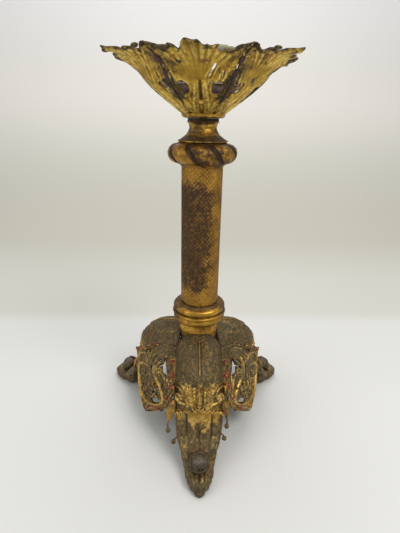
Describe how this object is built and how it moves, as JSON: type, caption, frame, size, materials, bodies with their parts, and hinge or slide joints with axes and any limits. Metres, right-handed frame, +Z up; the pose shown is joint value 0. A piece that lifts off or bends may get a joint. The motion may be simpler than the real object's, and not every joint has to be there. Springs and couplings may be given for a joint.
{
  "type": "torchere candle stand",
  "caption": "Candle stand with arched strap legs, pierced jewelled side panels, a turned column, a leafy crown and a loose drip pan over a candle spike.",
  "frame": {"origin": "centre of the bounding box at floor level; the column's axis stands 23 mm behind it, towards +Y", "axes": "+Z up along the column, -Y out along the front leg, +X to the right as seen from the front leg"},
  "size_m": [0.2806, 0.2736, 0.4892],
  "materials": {
    "gilt_brass": "worn old gilding, satin",
    "brown_brass": "brown patina over engraving",
    "patinated_brass": "dark brown patina, cast and chased",
    "dark_iron": "dark and dull",
    "grey_tin": "dull grey tinned sheet",
    "red_glass": "polished domed stone"
  },
  "bodies": {
    "stand": {"leg_front": "patinated_brass", "foot_ball_front": "dark_iron", "leg_rear_right": "patinated_brass", "foot_ball_rear_right": "dark_iron", "leg_rear_left": "patinated_brass", "foot_ball_rear_left": "dark_iron", "side_panel_front_right": "patinated_brass", "side_panel_rear": "patinated_brass", "side_panel_front_left": "patinated_brass", "stone_front_right_low": "red_glass", "stone_front_right_a1": "red_glass", "stone_front_right_a2": "red_glass", "stone_front_right_a3": "red_glass", "stone_front_right_a4": "red_glass", "stone_front_right_a5": "red_glass", "stone_front_right_b1": "red_glass", "stone_front_right_b2": "red_glass", "stone_front_right_b3": "red_glass", "stone_front_right_b4": "red_glass", "stone_front_right_b5": "red_glass", "stone_rear_low": "red_glass", "stone_rear_a1": "red_glass", "stone_rear_a2": "red_glass", "stone_rear_a3": "red_glass", "stone_rear_a4": "red_glass", "stone_rear_a5": "red_glass", "stone_rear_b1": "red_glass", "stone_rear_b2": "red_glass", "stone_rear_b3": "red_glass", "stone_rear_b4": "red_glass", "stone_rear_b5": "red_glass", "stone_front_left_low": "red_glass", "stone_front_left_a1": "red_glass", "stone_front_left_a2": "red_glass", "stone_front_left_a3": "red_glass", "stone_front_left_a4": "red_glass", "stone_front_left_a5": "red_glass", "stone_front_left_b1": "red_glass", "stone_front_left_b2": "red_glass", "stone_front_left_b3": "red_glass", "stone_front_left_b4": "red_glass", "stone_front_left_b5": "red_glass", "base_hub": "gilt_brass", "base_ring": "gilt_brass", "neck": "gilt_brass", "leaf_cup": "gilt_brass", "crown_leaf_1": "gilt_brass", "crown_leaf_2": "gilt_brass", "crown_leaf_3": "gilt_brass", "crown_leaf_4": "gilt_brass", "crown_leaf_5": "gilt_brass", "crown_leaf_6": "gilt_brass", "shaft_tube": "brown_brass", "knop": "brown_brass", "leaf_clamp_disc": "brown_brass", "tie_rod": "dark_iron", "rod_washer": "dark_iron", "rod_nut": "dark_iron", "candle_spike": "dark_iron"},
    "drip_pan": {"drip_pan": "grey_tin"}
  },
  "joints": [
    {"name": "drip_pan_lift", "type": "slide", "parent": "stand", "child": "drip_pan", "axis": [0, 0, 1], "range_m": [0, 0.12]}
  ]
}
